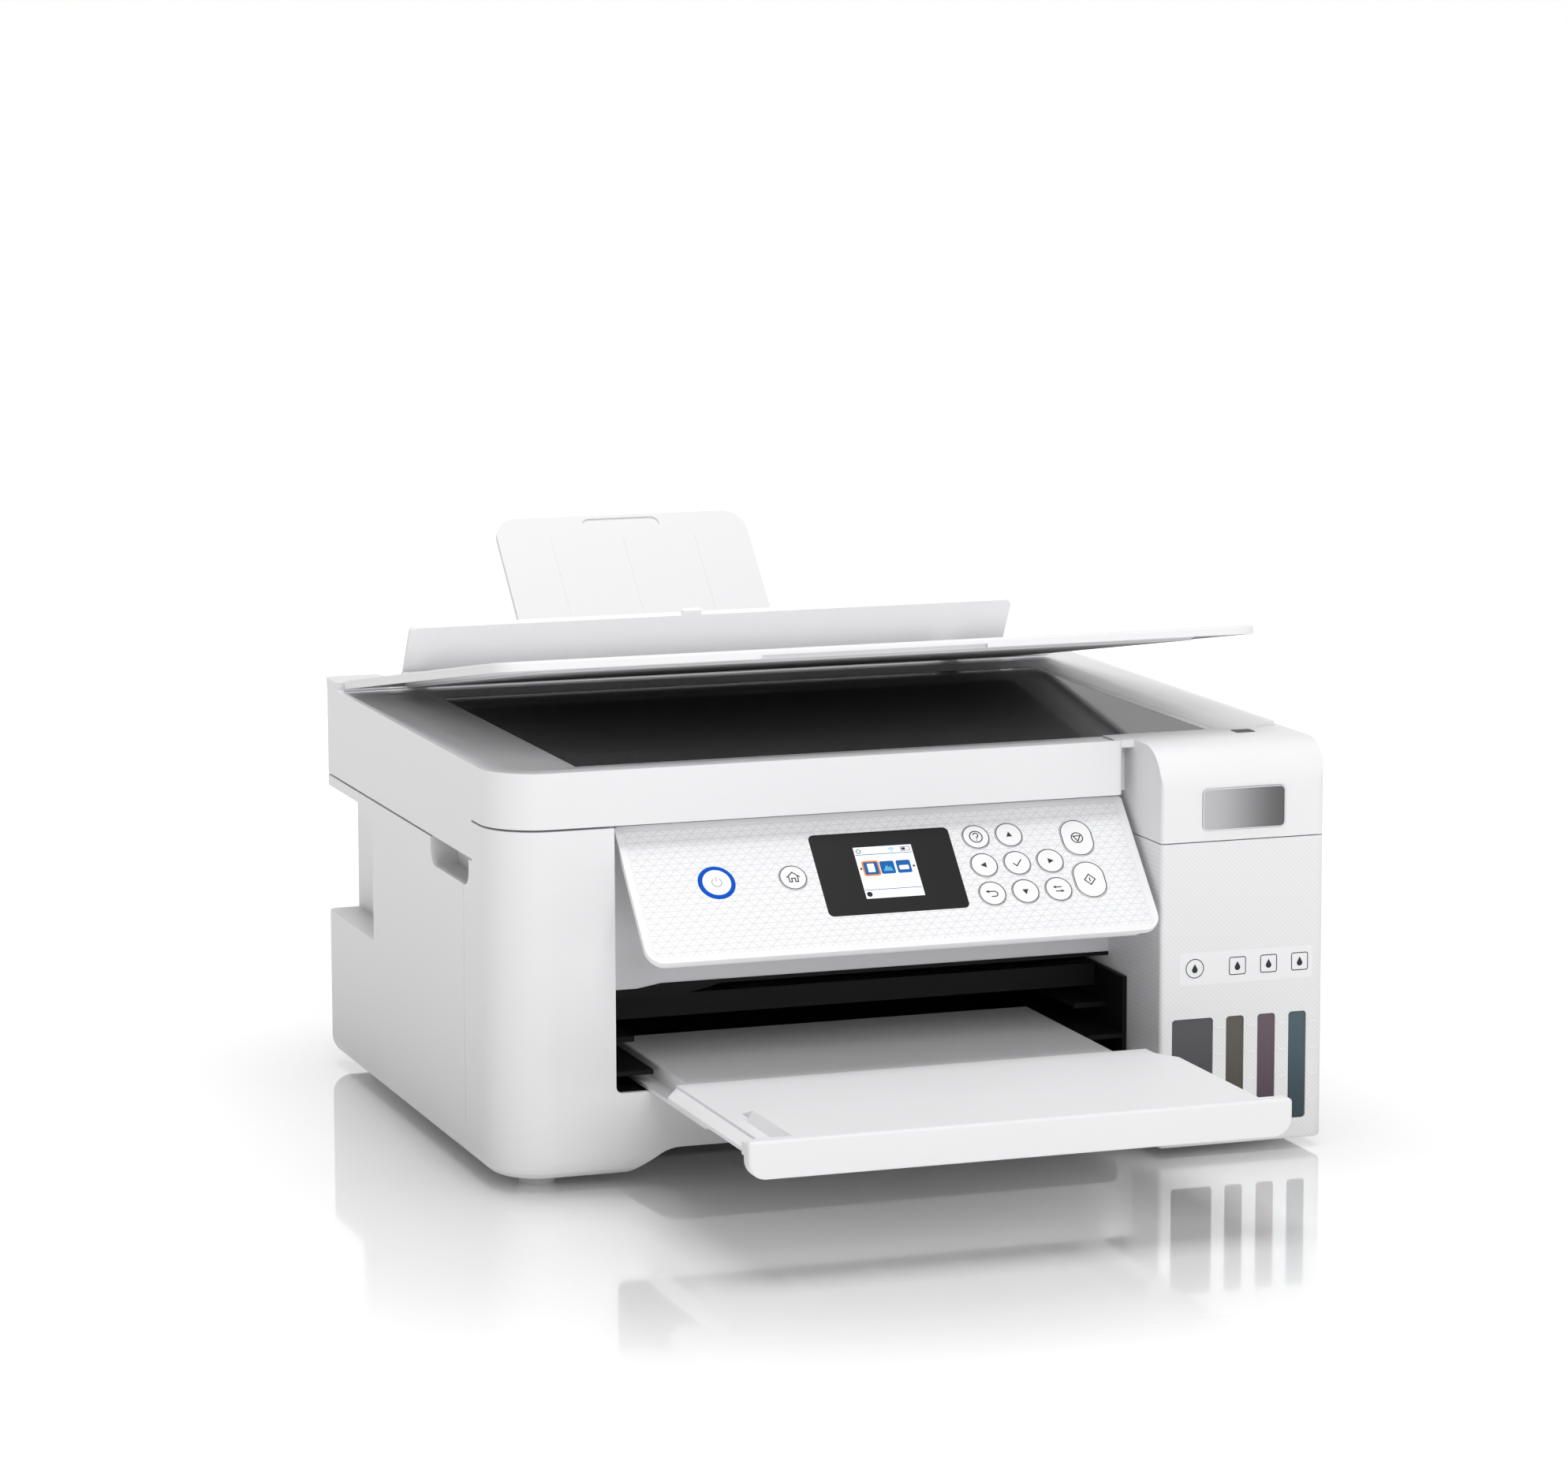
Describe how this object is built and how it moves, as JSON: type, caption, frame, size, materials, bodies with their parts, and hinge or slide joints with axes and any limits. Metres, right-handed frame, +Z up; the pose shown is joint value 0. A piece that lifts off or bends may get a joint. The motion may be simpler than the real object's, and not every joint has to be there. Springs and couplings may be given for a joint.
{
  "type": "inkjet printer",
  "caption": "Inkjet printer with a flatbed scanner, tilting control panel, rear paper feeder, drawn-out output tray and refillable ink tanks behind front windows.",
  "frame": {"origin": "on the table, under the middle of the printer's box as pictured, with the tray drawn out and the support up", "axes": "+X to the printer's right seen from the front, +Y to the back, +Z up"},
  "size_m": [0.375, 0.5568, 0.2497],
  "materials": {
    "white_plastic": "fine-grained matte white",
    "black_plastic": "matte black",
    "grey_plastic": "smooth grey",
    "steel": "zinc-plated sheet",
    "rod_steel": "polished",
    "rubber": "matte",
    "board": "green solder mask",
    "bed_glass": "polished, dark below",
    "mat": "white foam mat",
    "display_black": "glossy black",
    "lcd": "lit display",
    "ring_light": "translucent blue, lit",
    "ink_black": "translucent dark grey",
    "ink_yellow": "translucent olive brown",
    "ink_magenta": "translucent plum",
    "ink_cyan": "translucent teal"
  },
  "bodies": {
    "base": {"main_case": "white_plastic", "tank_housing": "white_plastic", "inner_frame": "black_plastic", "chassis": "steel", "guide_rod": "rod_steel", "carriage_belt": "rubber", "carriage_motor": "steel", "feed_motor": "steel", "cap_station": "black_plastic", "main_board": "board", "power_supply": "black_plastic", "ac_inlet": "black_plastic", "rubber_feet": "rubber", "case_screws": "steel", "rear_feed_tray": "white_plastic", "ink_tank_black": "ink_black", "ink_tank_yellow": "ink_yellow", "ink_tank_magenta": "ink_magenta", "ink_tank_cyan": "ink_cyan"},
    "scanner_unit": {"scanner_case": "white_plastic", "scanner_bed": "white_plastic", "scanner_glass": "bed_glass"},
    "scan_bar": {"scan_carriage": "black_plastic"},
    "lid": {"lid_cover": "white_plastic", "lid_pad": "mat"},
    "guard": {"feeder_guard": "white_plastic"},
    "panel": {"panel_plate": "white_plastic", "panel_back": "white_plastic", "display_window": "display_black", "lcd_screen": "lcd", "power_ring": "ring_light"},
    "tray": {"output_tray": "white_plastic"},
    "tray_front": {"tray_extension": "white_plastic"},
    "support": {"paper_support": "white_plastic"},
    "guide_left": {"edge_guide_left": "grey_plastic"},
    "guide_right": {"edge_guide_right": "grey_plastic"},
    "cover": {"rear_cover": "white_plastic"},
    "carriage": {"print_carriage": "black_plastic"},
    "pulley_left": {"drive_pulley": "grey_plastic"},
    "pulley_right": {"idler_pulley": "grey_plastic"},
    "feed": {"feed_roller": "rod_steel"},
    "idler": {"idler_gear": "grey_plastic"},
    "exit": {"exit_roller": "black_plastic"},
    "pinion": {"motor_pinion": "grey_plastic"},
    "cap_black": {"tank_cap_black": "ink_black"},
    "cap_yellow": {"tank_cap_yellow": "ink_yellow"},
    "cap_magenta": {"tank_cap_magenta": "ink_magenta"},
    "cap_cyan": {"tank_cap_cyan": "ink_cyan"},
    "key_power": {"power_button": "white_plastic"},
    "key_home": {"home_button": "white_plastic"},
    "key_help": {"help_button": "white_plastic"},
    "key_up": {"up_button": "white_plastic"},
    "key_left": {"left_button": "white_plastic"},
    "key_ok": {"ok_button": "white_plastic"},
    "key_right": {"right_button": "white_plastic"},
    "key_back": {"back_button": "white_plastic"},
    "key_down": {"down_button": "white_plastic"},
    "key_swap": {"swap_button": "white_plastic"},
    "key_stop": {"stop_button": "white_plastic"},
    "key_start": {"start_button": "white_plastic"}
  },
  "joints": [
    {"name": "scanner_lift", "type": "hinge", "parent": "base", "child": "scanner_unit", "pos_m": [0, 0.18219, 0.1505], "axis": [-1, 0, 0], "range_deg": [0, 25]},
    {"name": "scan_travel", "type": "slide", "parent": "scanner_unit", "child": "scan_bar", "axis": [1, 0, 0], "range_m": [0, 0.32]},
    {"name": "lid_hinge", "type": "hinge", "parent": "scanner_unit", "child": "lid", "pos_m": [0, 0.16759, 0.1886], "axis": [-1, 0, 0], "range_deg": [-9.4, 48]},
    {"name": "guard_hinge", "type": "hinge", "parent": "scanner_unit", "child": "guard", "pos_m": [0, 0.17679, 0.1855], "axis": [1, 0, 0], "range_deg": [-105, 0]},
    {"name": "panel_tilt", "type": "hinge", "parent": "base", "child": "panel", "pos_m": [0, -0.09357, 0.14942], "axis": [-1, 0, 0], "range_deg": [-43.36, 6.6]},
    {"name": "power_press", "type": "slide", "parent": "panel", "child": "key_power", "axis": [0, 0.7271, -0.6866], "range_m": [0, 0.0006], "stiffness_N_per_m": 500, "springref_m": -0.0002},
    {"name": "home_press", "type": "slide", "parent": "panel", "child": "key_home", "axis": [0, 0.7271, -0.6866], "range_m": [0, 0.0006], "stiffness_N_per_m": 500, "springref_m": -0.0002},
    {"name": "help_press", "type": "slide", "parent": "panel", "child": "key_help", "axis": [0, 0.7271, -0.6866], "range_m": [0, 0.0006], "stiffness_N_per_m": 500, "springref_m": -0.0002},
    {"name": "up_press", "type": "slide", "parent": "panel", "child": "key_up", "axis": [0, 0.7271, -0.6866], "range_m": [0, 0.0006], "stiffness_N_per_m": 500, "springref_m": -0.0002},
    {"name": "left_press", "type": "slide", "parent": "panel", "child": "key_left", "axis": [0, 0.7271, -0.6866], "range_m": [0, 0.0006], "stiffness_N_per_m": 500, "springref_m": -0.0002},
    {"name": "ok_press", "type": "slide", "parent": "panel", "child": "key_ok", "axis": [0, 0.7271, -0.6866], "range_m": [0, 0.0006], "stiffness_N_per_m": 500, "springref_m": -0.0002},
    {"name": "right_press", "type": "slide", "parent": "panel", "child": "key_right", "axis": [0, 0.7271, -0.6866], "range_m": [0, 0.0006], "stiffness_N_per_m": 500, "springref_m": -0.0002},
    {"name": "back_press", "type": "slide", "parent": "panel", "child": "key_back", "axis": [0, 0.7271, -0.6866], "range_m": [0, 0.0006], "stiffness_N_per_m": 500, "springref_m": -0.0002},
    {"name": "down_press", "type": "slide", "parent": "panel", "child": "key_down", "axis": [0, 0.7271, -0.6866], "range_m": [0, 0.0006], "stiffness_N_per_m": 500, "springref_m": -0.0002},
    {"name": "swap_press", "type": "slide", "parent": "panel", "child": "key_swap", "axis": [0, 0.7271, -0.6866], "range_m": [0, 0.0006], "stiffness_N_per_m": 500, "springref_m": -0.0002},
    {"name": "stop_press", "type": "slide", "parent": "panel", "child": "key_stop", "axis": [0, 0.7271, -0.6866], "range_m": [0, 0.0006], "stiffness_N_per_m": 500, "springref_m": -0.0002},
    {"name": "start_press", "type": "slide", "parent": "panel", "child": "key_start", "axis": [0, 0.7271, -0.6866], "range_m": [0, 0.0006], "stiffness_N_per_m": 500, "springref_m": -0.0002},
    {"name": "tray_slide", "type": "slide", "parent": "base", "child": "tray", "axis": [0, 1, 0], "range_m": [0, 0.085]},
    {"name": "tray_front_slide", "type": "slide", "parent": "tray", "child": "tray_front", "axis": [0, 1, 0], "range_m": [0, 0.09]},
    {"name": "support_slide", "type": "slide", "parent": "base", "child": "support", "axis": [0, 0.7071, 0.7071], "range_m": [-0.095, 0]},
    {"name": "guide_slide_left", "type": "slide", "parent": "base", "child": "guide_left", "axis": [1, 0, 0], "range_m": [-0.003, 0.055]},
    {"name": "guide_slide_right", "type": "slide", "parent": "base", "child": "guide_right", "axis": [1, 0, 0], "range_m": [-0.055, 0.003]},
    {"name": "cover_pull", "type": "slide", "parent": "base", "child": "cover", "axis": [0, 1, 0], "range_m": [0, 0.08]},
    {"name": "cap_hinge_black", "type": "hinge", "parent": "base", "child": "cap_black", "pos_m": [0.124, -0.08841, 0.1474], "axis": [-1, 0, 0], "range_deg": [0, 75]},
    {"name": "cap_hinge_yellow", "type": "hinge", "parent": "base", "child": "cap_yellow", "pos_m": [0.1445, -0.08841, 0.1474], "axis": [-1, 0, 0], "range_deg": [0, 75]},
    {"name": "cap_hinge_magenta", "type": "hinge", "parent": "base", "child": "cap_magenta", "pos_m": [0.1597, -0.08841, 0.1474], "axis": [-1, 0, 0], "range_deg": [0, 75]},
    {"name": "cap_hinge_cyan", "type": "hinge", "parent": "base", "child": "cap_cyan", "pos_m": [0.1748, -0.08841, 0.1474], "axis": [-1, 0, 0], "range_deg": [0, 75]},
    {"name": "carriage_travel", "type": "slide", "parent": "base", "child": "carriage", "axis": [1, 0, 0], "range_m": [-0.246, 0]},
    {"name": "pulley_spin_left", "type": "hinge", "parent": "base", "child": "pulley_left", "pos_m": [-0.1655, 0.06379, 0.112], "axis": [0, 1, 0], "range_deg": [-5, 2435.1]},
    {"name": "pulley_spin_right", "type": "hinge", "parent": "base", "child": "pulley_right", "pos_m": [0.1655, 0.06379, 0.112], "axis": [0, 1, 0], "range_deg": [-5, 2435.1]},
    {"name": "feed_spin", "type": "hinge", "parent": "base", "child": "feed", "pos_m": [0, 0.07659, 0.06], "axis": [1, 0, 0], "continuous": true},
    {"name": "idler_spin", "type": "hinge", "parent": "base", "child": "idler", "pos_m": [-0.1468, 0.03859, 0.06], "axis": [1, 0, 0], "continuous": true},
    {"name": "exit_spin", "type": "hinge", "parent": "base", "child": "exit", "pos_m": [0, 0.00659, 0.06], "axis": [1, 0, 0], "continuous": true},
    {"name": "pinion_spin", "type": "hinge", "parent": "base", "child": "pinion", "pos_m": [-0.1468, 0.09356, 0.07697], "axis": [1, 0, 0], "continuous": true}
  ],
  "couplings": [
    {"joint": "guide_slide_right", "follows": "guide_slide_left", "ratio": -1},
    {"joint": "pulley_spin_left", "follows": "carriage_travel", "rad_per_m": -172.41},
    {"joint": "pulley_spin_right", "follows": "carriage_travel", "rad_per_m": -172.41},
    {"joint": "idler_spin", "follows": "feed_spin", "ratio": -0.9},
    {"joint": "exit_spin", "follows": "feed_spin", "ratio": 1.5},
    {"joint": "pinion_spin", "follows": "feed_spin", "ratio": -3}
  ]
}
